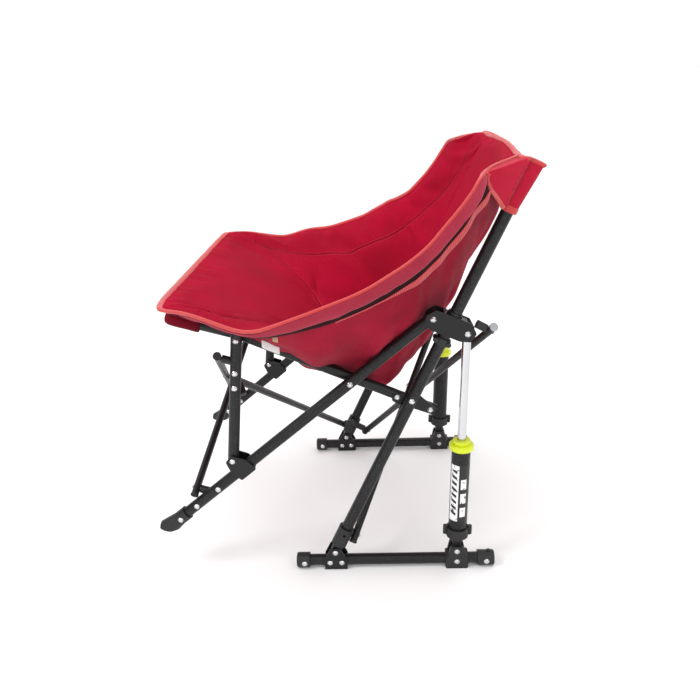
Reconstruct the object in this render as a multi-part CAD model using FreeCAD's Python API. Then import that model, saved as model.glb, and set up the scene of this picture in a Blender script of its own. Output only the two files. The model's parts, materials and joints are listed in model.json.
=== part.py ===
import FreeCAD, Part
import math
import os

# Camp rocking chair. Millimetres, +Z up, the chair faces -Y, X runs across its width.
# The two side frames are mirror images in planes at x = +SIDE_X (left) and x = -SIDE_X (right).

V = FreeCAD.Vector

# ---- driving dimensions --------------------------------------------------------------------
SIDE_X = 280.0            # middle plane of a side frame
RUN = 0.05                # radial clearance of a turning or sliding fit
GAP = 0.3                 # clearance between neighbouring pieces

RAIL_R = 12.5             # base rail tube
RAIL_Z = 17.0             # axis of the base rail
RAIL_Y = (-107.0, 333.0)  # its two ends
WALL = 1.3                # wall of the steel tubes

HINGE_Y = -18.7           # hinge that carries the chair on the rail
HINGE_Z = 43.0
PISTON_Y = 250.0          # lower hinge of the sprung piston, at the same height

POST_R = 12.5             # back post
POST_ANGLE = 64.1         # degrees above the floor, leaning back
POST_T = (20.0, 900.0)    # its ends, measured from the hinge along the post

SLIDE_T = 582.0           # slide bracket on the post
SLIDE_OFF = 37.5          # its two pivots stand this far in front of and behind the post

LEG_R = 12.0              # long leg from the slide bracket to the front foot
LEG_ANGLE = 38.75         # degrees below level
LEG_END = 700.0           # lower end, measured from the upper pivot
FOOT_RIVET = 715.0

SEAT_PIVOT_T = 403.0      # pivot of the seat rail on the post
SEAT_R = 11.0
SEAT_DROP = 15.5          # the rail runs this far below that pivot
SEAT_X = SIDE_X - 31.0    # the seat rail runs inside the post and the leg
SEAT_KNEE = (-194.0, 548.0)
SEAT_FRONT = (-330.0, 588.0)
SEAT_REAR_Y = 207.0

FRONT_R = 12.0            # front post between seat rail and long leg
SLEEVE_T = 525.0          # its lower hinge, measured along the long leg
SLEEVE_OFF = 30.0         # and above the leg's axis

BRACE_R = 8.0             # crossed braces between the two side frames
BRACE_OFF = 8.7           # the two tubes of a cross lie this far each side of their middle plane
BRACE_OVER = 16.0         # the tube runs on past its hinge

CYL_R = 20.0              # cylinder of the sprung piston
CYL_T = (56.0, 246.0)     # its ends, measured from the lower hinge
ROD_R = 9.0
PIN_R = 4.0
RIVET_R = 3.0
HEAD_R = 6.0
HEAD_H = 2.4

FABRIC = 4.0              # thickness of the padded sling


# ---- places in a side frame: (y, z) ----------------------------------------------------------
def along(origin, angle, t, off=0.0):
    """Point t along a line at this angle above +Y, and off to its left."""
    c = math.cos(math.radians(angle))
    s = math.sin(math.radians(angle))
    return (origin[0] + t * c - off * s, origin[1] + t * s + off * c)


HINGE = (HINGE_Y, HINGE_Z)
PISTON = (PISTON_Y, HINGE_Z)


def on_post(t, off=0.0):
    return along(HINGE, POST_ANGLE, t, off)


LEG_TOP = on_post(SLIDE_T, SLIDE_OFF)
ROD_TOP = on_post(SLIDE_T, -SLIDE_OFF)


def on_leg(t, off=0.0):
    """Point t down the long leg from its upper pivot, and off above its axis."""
    return along(LEG_TOP, 180.0 + LEG_ANGLE, t, -off)


PISTON_ANGLE = math.degrees(math.atan2(ROD_TOP[1] - PISTON[1], ROD_TOP[0] - PISTON[0]))
PISTON_LENGTH = math.hypot(ROD_TOP[1] - PISTON[1], ROD_TOP[0] - PISTON[0])


def on_piston(t, off=0.0):
    return along(PISTON, PISTON_ANGLE, t, off)


SEAT_PIVOT = on_post(SEAT_PIVOT_T)
SEAT_UNDER = (SEAT_PIVOT[0], SEAT_PIVOT[1] - SEAT_DROP)
SEAT_SLOPE = (SEAT_KNEE[1] - SEAT_UNDER[1]) / (SEAT_KNEE[0] - SEAT_UNDER[0])


def on_seat(y):
    """Point of the straight part of the seat rail at this y."""
    return (y, SEAT_UNDER[1] + SEAT_SLOPE * (y - SEAT_UNDER[0]))


def crossing():
    """Where the long leg crosses the seat rail."""
    low, high = 0.0, LEG_END
    for _ in range(40):
        t = 0.5 * (low + high)
        p = on_leg(t)
        if p[1] > on_seat(p[0])[1]:
            low = t
        else:
            high = t
    return low


CROSS_T = crossing()
SLEEVE_HINGE = on_leg(SLEEVE_T, SLEEVE_OFF)


# ---- small shapes ----------------------------------------------------------------------------
def at(p, x=SIDE_X):
    return V(x, p[0], p[1])


def rod(a, b, r):
    d = b - a
    return Part.makeCylinder(r, d.Length, a, d)


def tube(a, b, r, wall=WALL):
    return rod(a, b, r).cut(rod(a, b, r - wall))


def across(p, x0, x1, r):
    """Cylinder along X at the side-frame point p."""
    return rod(V(x0, p[0], p[1]), V(x1, p[0], p[1]), r)


def plate(points, x0, x1, corner=0.0):
    """Flat plate with this outline in the side plane, from x0 to x1, its corners rounded."""
    wire = Part.makePolygon([V(x0, y, z) for y, z in points + points[:1]])
    solid = Part.Face(wire).extrude(V(x1 - x0, 0, 0))
    if corner:
        edges = [e for e in solid.Edges if abs(e.tangentAt(e.FirstParameter).x) > 0.99]
        solid = solid.makeFillet(corner, edges)
    return solid


def rivet(p, x0, x1, r=RIVET_R):
    """Rivet along X with a low domed head on each end, outside x0 and x1."""
    shank = across(p, x0, x1, r)
    heads = []
    for x, way in ((x0, -1.0), (x1, 1.0)):
        head = Part.makeCone(HEAD_R, HEAD_R * 0.55, HEAD_H, V(x, p[0], p[1]), V(way, 0, 0))
        heads.append(head)
    return shank.multiFuse(heads).removeSplitter()


def drill(shape, points, r=RIVET_R + RUN):
    """Cut a hole along X at each side-frame point."""
    return shape.cut([across(p, SIDE_X - 80, SIDE_X + 80, r) for p in points])


def mirrored(shape):
    return shape.mirror(V(0, 0, 0), V(1, 0, 0))


def group(solids):
    return Part.makeCompound(solids)


# ---- base rail -------------------------------------------------------------------------------
BRACKET_RIVETS = [(HINGE_Y - 13.0, RAIL_Z), (HINGE_Y + 13.0, RAIL_Z)]
CAP_RIVETS = [(RAIL_Y[0] + 18.0, RAIL_Z), (RAIL_Y[1] - 18.0, RAIL_Z)]
MOUNT_RIVET = (PISTON_Y, RAIL_Z)
CAP_R = 17.0
BRACKET_X = (13.0, 15.6)      # cheeks of the rail bracket, from the side plane
MOUNT_X = (9.0, 17.0)         # cheeks of the piston mount


def base_rail():
    body = tube(at((RAIL_Y[0] + 4, RAIL_Z)), at((RAIL_Y[1] - 4, RAIL_Z)), RAIL_R)
    return drill(body, BRACKET_RIVETS + CAP_RIVETS + [MOUNT_RIVET])


def rail_end_caps():
    caps = []
    for end, inward, length in ((RAIL_Y[0], 1.0, 29.0), (RAIL_Y[1], -1.0, 37.0)):
        outer = rod(at((end, RAIL_Z)), at((end + inward * length, RAIL_Z)), CAP_R)
        edge = [e for e in outer.Edges if abs(e.BoundBox.Center.y - end) < 0.1 and e.Length > 20]
        outer = outer.makeFillet(4.0, edge)
        hole = rod(at((end + inward * 3.5, RAIL_Z)), at((end + inward * 60, RAIL_Z)), RAIL_R + RUN)
        caps.append(drill(outer.cut(hole), CAP_RIVETS))
    bump_y = RAIL_Y[1] - 13.0
    bump = rod(at((bump_y, RAIL_Z + CAP_R - 3)), at((bump_y, RAIL_Z + CAP_R + 3)), 4.0)
    bump = bump.cut(rod(at((RAIL_Y[1] - 50, RAIL_Z)), at((RAIL_Y[1] + 5, RAIL_Z)), CAP_R - 1.0))
    caps[1] = caps[1].fuse(bump).removeSplitter()
    return group(caps)


def rail_hinge_bracket():
    y0 = HINGE_Y
    outline = [(y0 - 27, RAIL_Z - 8), (y0 + 27, RAIL_Z - 8), (y0 + 25, RAIL_Z + 10),
               (y0 + 11, HINGE_Z + 11), (y0 - 11, HINGE_Z + 11), (y0 - 25, RAIL_Z + 10)]
    cheeks = [plate(outline, SIDE_X + BRACKET_X[0], SIDE_X + BRACKET_X[1], 5.0),
              plate(outline, SIDE_X - BRACKET_X[1], SIDE_X - BRACKET_X[0], 5.0)]
    web = Part.makeBox(2 * BRACKET_X[1], 50, 2.6, V(SIDE_X - BRACKET_X[1], y0 - 25, 1.6))
    skirt = [(y0 - 25, 1.6), (y0 + 25, 1.6), (y0 + 25, RAIL_Z), (y0 - 25, RAIL_Z)]
    sides = [plate(skirt, SIDE_X + BRACKET_X[0], SIDE_X + BRACKET_X[1]),
             plate(skirt, SIDE_X - BRACKET_X[1], SIDE_X - BRACKET_X[0])]
    body = web.multiFuse(cheeks + sides).removeSplitter()
    body = drill(body, BRACKET_RIVETS)
    return drill(body, [HINGE], PIN_R)


def piston_mount():
    block = Part.makeBox(34, 50, 31, V(SIDE_X - 17, PISTON_Y - 25, 0))
    block = block.makeFillet(5.0, [e for e in block.Edges if abs(e.tangentAt(0).z) > 0.99])
    outline = [(PISTON_Y - 20, 30), (PISTON_Y + 20, 30), (PISTON_Y + 14, HINGE_Z + 12),
               (PISTON_Y - 14, HINGE_Z + 12)]
    cheeks = [plate(outline, SIDE_X + MOUNT_X[0], SIDE_X + MOUNT_X[1], 4.0),
              plate(outline, SIDE_X - MOUNT_X[1], SIDE_X - MOUNT_X[0], 4.0)]
    body = block.multiFuse(cheeks).removeSplitter()
    body = body.cut(rod(at((0, RAIL_Z)), at((400, RAIL_Z)), RAIL_R + RUN))
    body = drill(body, [MOUNT_RIVET])
    return drill(body, [PISTON], PIN_R)


def rail_rivets():
    """Rivets that hold the bracket, the mount and the caps to the rail."""
    out = [rivet(p, SIDE_X - BRACKET_X[1], SIDE_X + BRACKET_X[1]) for p in BRACKET_RIVETS]
    out += [rivet(p, SIDE_X - CAP_R, SIDE_X + CAP_R) for p in CAP_RIVETS + [MOUNT_RIVET]]
    return group(out)


def rail_pins():
    """The hinge pin of the chair and the lower pin of the piston."""
    return group([rivet(HINGE, SIDE_X - BRACKET_X[1], SIDE_X + BRACKET_X[1], PIN_R),
                  rivet(PISTON, SIDE_X - MOUNT_X[1], SIDE_X + MOUNT_X[1], PIN_R)])


# ---- sprung piston ---------------------------------------------------------------------------
def cylinder_base():
    eye = across(PISTON, SIDE_X - 8.4, SIDE_X + 8.4, 9.0)
    neck = Part.makeCone(8.0, 15.0, 36.0, at(on_piston(4)), at(on_piston(36)) - at(on_piston(4)))
    neck = neck.common(Part.makeBox(16.8, 400, 400, V(SIDE_X - 8.4, 100, 0)).fuse(
        rod(at(on_piston(16)), at(on_piston(60)), 30.0)))
    collar = rod(at(on_piston(34)), at(on_piston(CYL_T[0])), 24.0)
    ears = []
    for off in (-26.0, 26.0):
        ears.append(rod(at(on_piston(38, off)), at(on_piston(CYL_T[0] + 2, off)), 5.5))
    body = eye.multiFuse([neck, collar] + ears).removeSplitter()
    return drill(body, [PISTON], PIN_R + RUN)


def spring_cylinder():
    return tube(at(on_piston(CYL_T[0])), at(on_piston(CYL_T[1])), CYL_R, 2.5)


def cylinder_collar():
    """Bright guide nut on top of the cylinder; the rod slides in it."""
    low = rod(at(on_piston(CYL_T[1])), at(on_piston(CYL_T[1] + 14)), 26.0)
    low = low.makeChamfer(2.5, [e for e in low.Edges if e.Length > 100 and e.Curve.TypeId.endswith("Circle")])
    top = rod(at(on_piston(CYL_T[1] + 14)), at(on_piston(CYL_T[1] + 22)), 18.0)
    body = low.fuse(top).removeSplitter()
    return body.cut(rod(at(on_piston(0)), at(on_piston(400)), ROD_R + RUN))


def piston_spring():
    """Compression spring inside the cylinder, as its plain outer sleeve."""
    return tube(at(on_piston(CYL_T[0] + 1)), at(on_piston(148)), 15.5, 3.5)


def piston_rod():
    shaft = rod(at(on_piston(150)), at(on_piston(PISTON_LENGTH - 6)), ROD_R)
    head = rod(at(on_piston(150)), at(on_piston(160)), CYL_R - 2.5 - RUN)
    eye = across(ROD_TOP, SIDE_X - 8, SIDE_X + 8, 10.0)
    body = shaft.multiFuse([head, eye]).removeSplitter()
    return drill(body, [ROD_TOP], 5.0)


# ---- back post -------------------------------------------------------------------------------
BOOT_R = 17.0
BOOT_RIVET = on_post(50.0)
BOOT_T = (17.0, 64.0)
COLLAR_T = (538.0, 552.0)


def back_post():
    body = tube(at(on_post(POST_T[0])), at(on_post(POST_T[1])), POST_R)
    return drill(body, [BOOT_RIVET, SEAT_PIVOT])


def post_boot():
    sleeve = rod(at(on_post(BOOT_T[0])), at(on_post(BOOT_T[1])), BOOT_R)
    tongue = across(HINGE, SIDE_X - 10, SIDE_X + 10, 10.5)
    neck = [on_post(0, -10.5), on_post(24, -10.5), on_post(24, 10.5), on_post(0, 10.5)]
    body = sleeve.multiFuse([tongue, plate(neck, SIDE_X - 10, SIDE_X + 10)]).removeSplitter()
    body = body.cut(rod(at(on_post(POST_T[0] - 0.5)), at(on_post(200)), POST_R + RUN))
    body = drill(body, [BOOT_RIVET])
    return drill(body, [HINGE], PIN_R + RUN)


def post_stop_collar():
    ring = rod(at(on_post(COLLAR_T[0])), at(on_post(COLLAR_T[1])), 17.0)
    lugs = [across(on_post(545, off), SIDE_X - 10, SIDE_X + 16, 5.0) for off in (-14.0, 14.0)]
    body = ring.multiFuse(lugs).removeSplitter()
    return body.cut(rod(at(on_post(500)), at(on_post(600)), POST_R + RUN))


# ---- slide bracket ---------------------------------------------------------------------------
CHEEK_X = (16.0, 18.6)


def slide_bracket():
    outline = [on_post(SLIDE_T + 2, 53), on_post(SLIDE_T + 20, 40), on_post(SLIDE_T + 23, -34),
               on_post(SLIDE_T + 8, -53), on_post(SLIDE_T - 12, -51), on_post(SLIDE_T - 20, -30),
               on_post(SLIDE_T - 22, 34), on_post(SLIDE_T - 14, 50)]
    cheeks = [plate(outline, SIDE_X + CHEEK_X[0], SIDE_X + CHEEK_X[1], 6.0),
              plate(outline, SIDE_X - CHEEK_X[1], SIDE_X - CHEEK_X[0], 6.0)]
    roof = [on_post(SLIDE_T + 18.6, 24), on_post(SLIDE_T + 21, 24),
            on_post(SLIDE_T + 21, -28), on_post(SLIDE_T + 18.6, -28)]
    web = plate(roof, SIDE_X - CHEEK_X[1], SIDE_X + CHEEK_X[1])
    body = web.multiFuse(cheeks).removeSplitter()
    body = body.cut(rod(at(on_post(500)), at(on_post(700)), 16.2))
    body = drill(body, [LEG_TOP])
    return drill(body, [ROD_TOP], PIN_R)


def slide_bush():
    """Plastic bush that lets the bracket slide on the post."""
    ring = rod(at(on_post(SLIDE_T - 16)), at(on_post(SLIDE_T + 27)), 15.9)
    return ring.cut(rod(at(on_post(500)), at(on_post(700)), POST_R + RUN))


def slide_rivets():
    """Leg pivot, and the two stub pins on which the rod's eye turns."""
    out = [rivet(LEG_TOP, SIDE_X - CHEEK_X[1], SIDE_X + CHEEK_X[1])]
    for way in (-1.0, 1.0):
        outer = SIDE_X + way * CHEEK_X[1]
        stub = across(ROD_TOP, SIDE_X + way * 9.0, outer, PIN_R)
        head = Part.makeCone(HEAD_R, HEAD_R * 0.55, HEAD_H, at(ROD_TOP, outer), V(way, 0, 0))
        out.append(stub.fuse(head).removeSplitter())
    return group(out)


# ---- long leg --------------------------------------------------------------------------------
CROSS = on_leg(CROSS_T)
FOOT_PIN = on_leg(FOOT_RIVET)
LEG_STUDS = [on_leg(CROSS_T + 381.0), on_leg(CROSS_T + 447.0)]


def long_leg():
    body = tube(at(on_leg(-13)), at(on_leg(LEG_END + 22)), LEG_R)
    return drill(body, [LEG_TOP, CROSS, FOOT_PIN] + LEG_STUDS)


def leg_foot():
    """Moulded foot: a round socket on the leg that widens towards an oblique, curved sole."""
    outline = [on_leg(697, -24), on_leg(697, 24), on_leg(758, 24), on_leg(765, 15),
               on_leg(752, -5), on_leg(737, -17), on_leg(726, -24)]
    socket = rod(at(on_leg(697)), at(on_leg(722)), 15.5)
    way = at(on_leg(768)) - at(on_leg(722))
    flare = Part.makeCone(15.5, 22.0, 46.0, at(on_leg(722)), way)
    body = plate(outline, SIDE_X - 24, SIDE_X + 24, 3.0).common(socket.fuse(flare)).removeSplitter()
    body = body.cut(rod(at(on_leg(600)), at(on_leg(LEG_END + 22.5)), LEG_R + RUN))
    return drill(body, [FOOT_PIN])


def leg_rivets():
    """Studs on the lower leg, the foot rivet, and the pivot between leg and seat rail."""
    out = [rivet(p, SIDE_X - LEG_R, SIDE_X + LEG_R) for p in LEG_STUDS]
    out.append(rivet(FOOT_PIN, SIDE_X - 15.5, SIDE_X + 15.5))
    pivot = rivet(CROSS, SEAT_X - SEAT_R, SIDE_X + LEG_R)
    spacer = across(CROSS, SEAT_X + SEAT_R + GAP, SIDE_X - LEG_R - GAP, 7.5)
    out.append(pivot.fuse(spacer).removeSplitter())
    return group(out)


# ---- sleeve bracket on the long leg ----------------------------------------------------------
SLEEVE_X = (14.2, 16.8)


def leg_sleeve():
    t = SLEEVE_T
    outline = [on_leg(t + 19, 14), on_leg(t + 12, 38), on_leg(t - 8, 42), on_leg(t - 25, 14),
               on_leg(t - 29, -15.5), on_leg(t + 15, -15.5)]
    cheeks = [plate(outline, SIDE_X + SLEEVE_X[0], SIDE_X + SLEEVE_X[1], 5.0),
              plate(outline, SIDE_X - SLEEVE_X[1], SIDE_X - SLEEVE_X[0], 5.0)]
    floor = [on_leg(t - 22, -15.5), on_leg(t + 9, -15.5), on_leg(t + 9, -12.9),
             on_leg(t - 22, -12.9)]
    web = plate(floor, SIDE_X - SLEEVE_X[1], SIDE_X + SLEEVE_X[1])
    body = web.multiFuse(cheeks).removeSplitter()
    return drill(body, [SLEEVE_HINGE])


# ---- front post ------------------------------------------------------------------------------
def on_front(t):
    """Point t down the front post from its upper pivot."""
    length = math.hypot(SLEEVE_HINGE[0] - SEAT_KNEE[0], SLEEVE_HINGE[1] - SEAT_KNEE[1])
    k = t / length
    return (SEAT_KNEE[0] + k * (SLEEVE_HINGE[0] - SEAT_KNEE[0]),
            SEAT_KNEE[1] + k * (SLEEVE_HINGE[1] - SEAT_KNEE[1]))


FRONT_LENGTH = math.hypot(SLEEVE_HINGE[0] - SEAT_KNEE[0], SLEEVE_HINGE[1] - SEAT_KNEE[1])
FRONT_STUDS = [on_front(71.0), on_front(104.0)]


def front_post():
    body = tube(at(on_front(-13)), at(on_front(FRONT_LENGTH + 11)), FRONT_R)
    return drill(body, [SEAT_KNEE, SLEEVE_HINGE] + FRONT_STUDS)


def front_post_rivets():
    out = [rivet(p, SIDE_X - FRONT_R, SIDE_X + FRONT_R) for p in FRONT_STUDS]
    out.append(rivet(SLEEVE_HINGE, SIDE_X - SLEEVE_X[1], SIDE_X + SLEEVE_X[1]))
    pivot = rivet(SEAT_KNEE, SEAT_X - SEAT_R, SIDE_X + FRONT_R)
    spacer = across(SEAT_KNEE, SEAT_X + SEAT_R + GAP, SIDE_X - FRONT_R - GAP, 7.5)
    out.append(pivot.fuse(spacer).removeSplitter())
    return group(out)


# ---- seat rail -------------------------------------------------------------------------------
PLATE_RIVETS = [on_seat(128.0), on_seat(196.0)]
PLATE_X = (-19.2, -16.2)


def seat_rail():
    rear = at(on_seat(SEAT_REAR_Y), SEAT_X)
    knee = at(SEAT_KNEE, SEAT_X)
    front = at(SEAT_FRONT, SEAT_X)
    outer = rod(rear, knee, SEAT_R).multiFuse([rod(knee, front, SEAT_R), Part.makeSphere(SEAT_R, knee)])
    bore = SEAT_R - WALL
    inner = rod(rear, knee, bore).multiFuse([rod(knee, front, bore), Part.makeSphere(bore, knee)])
    body = outer.cut(inner).removeSplitter()
    return drill(body, [SEAT_KNEE, CROSS] + PLATE_RIVETS)


def seat_hinge_plate():
    """Plate riveted to the seat rail that carries it on the post."""
    a, b = PLATE_RIVETS
    outline = [(a[0] - 12, a[1] - 6), (a[0] - 4, a[1] - 12), (b[0] + 6, b[1] - 11),
               (b[0] + 13, b[1] + 2), (SEAT_PIVOT[0] + 12, SEAT_PIVOT[1] + 6),
               (SEAT_PIVOT[0] + 2, SEAT_PIVOT[1] + 13), (SEAT_PIVOT[0] - 10, SEAT_PIVOT[1] + 8),
               (a[0] - 10, a[1] + 6)]
    body = plate(outline, SIDE_X + PLATE_X[0], SIDE_X + PLATE_X[1], 3.0)
    return drill(body, PLATE_RIVETS + [SEAT_PIVOT])


def seat_rail_rivets():
    """Two rivets that hold the plate to the seat rail, and the pivot on the post."""
    out = [rivet(p, SEAT_X - SEAT_R, SIDE_X + PLATE_X[1]) for p in PLATE_RIVETS]
    out.append(rivet(SEAT_PIVOT, SIDE_X + PLATE_X[0], SIDE_X + POST_R))
    return group(out)


# ---- crossed braces --------------------------------------------------------------------------
REAR_LOW = on_post(48.0, -36.0)
REAR_HIGH = on_post(601.0, -71.0)
REAR_LOW_X = SIDE_X - 12.0
REAR_HIGH_X = SIDE_X - 8.0
FRONT_LOW = on_leg(CROSS_T + 433.0, 33.5)
FRONT_HIGH = (on_front(44.0)[0] - 30.5, on_front(44.0)[1])
FRONT_LOW_X = SIDE_X - 15.0
FRONT_HIGH_X = SIDE_X - 8.0


def plane_normal(low, high):
    """Unit vector across the plane of a cross, pointing up and forward."""
    d = V(0, high[0] - low[0], high[1] - low[1])
    d.normalize()
    return V(0, -d.z, d.y)


REAR_N = plane_normal(REAR_LOW, REAR_HIGH)
FRONT_N = plane_normal(FRONT_LOW, FRONT_HIGH)


def brace(low, high, low_x, high_x, normal, lift, side):
    """Ends of one tube of a cross: low on one side, high on the other; side is that of its top."""
    shift = normal * lift
    a = V(-side * low_x, low[0], low[1]) + shift
    b = V(side * high_x, high[0], high[1]) + shift
    d = b - a
    d.normalize()
    return a, b, d


def brace_pair(low, high, low_x, high_x, normal, lift):
    """The two tubes of a cross, as (low hinge, high hinge, direction)."""
    return [brace(low, high, low_x, high_x, normal, -lift, 1.0),
            brace(low, high, low_x, high_x, normal, lift, -1.0)]


REAR_PAIR = brace_pair(REAR_LOW, REAR_HIGH, REAR_LOW_X, REAR_HIGH_X, REAR_N, BRACE_OFF)
FRONT_PAIR = brace_pair(FRONT_LOW, FRONT_HIGH, FRONT_LOW_X, FRONT_HIGH_X, FRONT_N, -BRACE_OFF)

SEAT_BRACE_A = at(on_post(40.0, 29.0), -(SIDE_X - 20.0))
SEAT_BRACE_B = at(on_front(104.0), SIDE_X - 33.0)
SEAT_BRACE_D = (SEAT_BRACE_B - SEAT_BRACE_A).normalize()


def middle(ends):
    """Where a tube of a cross passes the chair's middle plane."""
    a, _, d = ends
    return a - d * (a.x / d.x)


def pinholes(shape, ends, normal, points):
    for p in points:
        shape = shape.cut(rod(p - normal * 30, p + normal * 30, RIVET_R + RUN))
    return shape


def brace_tube(ends, normal):
    a, b, d = ends
    body = tube(a - d * BRACE_OVER, b + d * BRACE_OVER, BRACE_R, 1.4)
    return pinholes(body, ends, normal, [a, b, middle(ends)])


def plug(p, d):
    """Push-in plug with a slightly wider rim, closing a brace end at p."""
    stem = rod(p - d * 4, p, BRACE_R - 1.4 - RUN)
    rim = rod(p, p + d * 3.5, BRACE_R + 0.8)
    return stem.fuse(rim).removeSplitter()


def brace_plugs(pair):
    out = []
    for a, b, d in pair:
        out.append(plug(a - d * BRACE_OVER, d * -1.0))
        out.append(plug(b + d * BRACE_OVER, d))
    return out


def cross_rivet(pair, normal):
    mid = (middle(pair[0]) + middle(pair[1])) * 0.5
    reach = BRACE_OFF + BRACE_R
    body = rod(mid - normal * reach, mid + normal * reach, RIVET_R)
    washer = rod(mid - normal * 0.5, mid + normal * 0.5, 7.0)
    heads = [Part.makeCone(HEAD_R, 3.5, HEAD_H, mid + normal * reach, normal),
             Part.makeCone(HEAD_R, 3.5, HEAD_H, mid - normal * reach, normal * -1.0)]
    return body.multiFuse(heads + [washer]).removeSplitter()


def knuckle(p, toward, reach, keep_out):
    """Plastic knuckle from the side of a brace at p to the piece it is fixed to."""
    start = p + toward * (BRACE_R + GAP)
    body = rod(start, p + toward * reach, 8.5)
    for solid in keep_out:
        body = body.cut(solid)
    solids = sorted(body.Solids, key=lambda s: s.CenterOfMass.distanceToPoint(p))
    return solids[0]


def hinge_rivet(p, toward):
    """Short rivet through a brace into its knuckle."""
    body = rod(p - toward * BRACE_R, p + toward * (BRACE_R + GAP), RIVET_R)
    head = Part.makeCone(5.0, 3.0, 2.2, p - toward * BRACE_R, toward * -1.0)
    return body.fuse(head).removeSplitter()


def both(make):
    """The piece that make() gives on the left, and its mirror image on the right."""
    left = make()
    return [left, mirrored(left)]


# Outer side of the bucket sling: half sections from the front edge of the seat to the top of the
# back. Each runs from the rim over the side frame and down to the middle: (x, y, z).
SLING = [
    [(345, -325, 637), (292, -330, 635), (230, -333, 633), (140, -335, 631), (0, -336, 630)],
    [(363, -275, 631), (300, -276, 610), (230, -278, 601), (140, -280, 602), (0, -282, 603)],
    [(388, -200, 616), (305, -203, 588), (230, -206, 575), (140, -208, 568), (0, -210, 566)],
    [(405, -125, 616), (308, -130, 570), (230, -134, 546), (150, -137, 532), (0, -140, 529)],
    [(412, -50, 628), (308, -58, 562), (230, -64, 514), (160, -70, 492), (0, -75, 486)],
    [(411, 20, 648), (306, 8, 566), (228, 2, 490), (165, -4, 452), (0, -8, 442)],
    [(402, 75, 672), (303, 62, 584), (226, 54, 480), (168, 46, 424), (0, 42, 408)],
    [(388, 120, 695), (300, 116, 604), (225, 106, 484), (170, 95, 415), (0, 100, 393)],
    [(372, 157, 714), (298, 162, 630), (224, 158, 520), (170, 143, 447), (0, 155, 418)],
    [(360, 197, 744), (296, 204, 666), (222, 202, 572), (172, 184, 496), (0, 203, 474)],
    [(354, 238, 789), (294, 248, 722), (222, 248, 638), (174, 234, 576), (0, 252, 556)],
    [(360, 270, 833), (298, 284, 786), (226, 286, 716), (178, 274, 664), (0, 294, 650)],
    [(350, 287, 859), (300, 312, 834), (230, 324, 788), (184, 316, 746), (0, 334, 740)],
    [(316, 302, 869), (282, 336, 864), (226, 350, 842), (180, 350, 822), (0, 362, 818)],
    [(255, 366, 881), (226, 369, 882), (186, 372, 883), (130, 376, 884), (0, 380, 886)],
]


def sling_grid():
    """The half sections mirrored to full ones, as rows of points from left to right."""
    rows = []
    for half in SLING:
        left = [V(*p) for p in half]
        right = [V(-p.x, p.y, p.z) for p in reversed(left[:-1])]
        rows.append(left + right)
    return rows


def inward(rows, i, j):
    """Direction from a point of the sling's outer side towards the sitter."""
    down = rows[min(i + 1, len(rows) - 1)][j] - rows[max(i - 1, 0)][j]
    across = rows[i][max(j - 1, 0)] - rows[i][min(j + 1, len(rows[i]) - 1)]
    return across.cross(down).normalize()


def seat_sling():
    """Padded shell between two smooth surfaces, closed along its rim."""
    outer = sling_grid()
    inner = []
    for i, row in enumerate(outer):
        inner.append([p + inward(outer, i, j) * FABRIC for j, p in enumerate(row)])
    faces = []
    for grid in (outer, inner):
        surface = Part.BSplineSurface()
        surface.interpolate(grid)
        faces.append(surface.toShape())
    below, above = faces
    for low in below.Edges:
        high = min(above.Edges, key=lambda e: e.CenterOfMass.distanceToPoint(low.CenterOfMass))
        faces.append(Part.makeRuledSurface(low, high))
    shell = Part.makeShell(faces)
    shell.sewShape()
    return Part.makeSolid(shell)


def top_pocket():
    """Fabric pocket that slips over the top of the back post."""
    outer = rod(at(on_post(830)), at(on_post(POST_T[1] + 26)), 22.0)
    return outer.cut(rod(at(on_post(800)), at(on_post(POST_T[1] + 1)), POST_R + GAP))


def front_pocket():
    """Fabric pocket over the front end of the seat rail."""
    a = at(SEAT_KNEE, SEAT_X)
    b = at(SEAT_FRONT, SEAT_X)
    d = (b - a).normalize()
    outer = rod(b - d * 62, b + d * 14, 19.0)
    return outer.cut(rod(a, b + d, SEAT_R + GAP))


# ---- nodes -----------------------------------------------------------------------------------
SIDE_PIECES = {
    "base_rail": base_rail, "rail_end_caps": rail_end_caps,
    "rail_hinge_bracket": rail_hinge_bracket, "piston_mount": piston_mount,
    "rail_rivets": rail_rivets, "rail_pins": rail_pins,
    "cylinder_base": cylinder_base, "spring_cylinder": spring_cylinder,
    "cylinder_collar": cylinder_collar, "piston_spring": piston_spring, "piston_rod": piston_rod,
    "back_post": back_post, "post_boot": post_boot, "post_stop_collar": post_stop_collar,
    "slide_bracket": slide_bracket, "slide_bush": slide_bush, "slide_rivets": slide_rivets,
    "long_leg": long_leg, "leg_foot": leg_foot, "leg_rivets": leg_rivets,
    "leg_sleeve": leg_sleeve, "front_post": front_post, "front_post_rivets": front_post_rivets,
    "seat_rail": seat_rail, "seat_hinge_plate": seat_hinge_plate,
    "seat_rail_rivets": seat_rail_rivets,
    "top_pocket": top_pocket, "front_pocket": front_pocket,
}
# Both sides of these are identical small parts of one body, so the pair shares a node.
PAIRED = {"rail_rivets", "rail_pins", "slide_bush", "slide_rivets", "leg_rivets",
          "front_post_rivets", "seat_rail_rivets", "post_stop_collar", "rail_end_caps",
          "seat_hinge_plate"}


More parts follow.
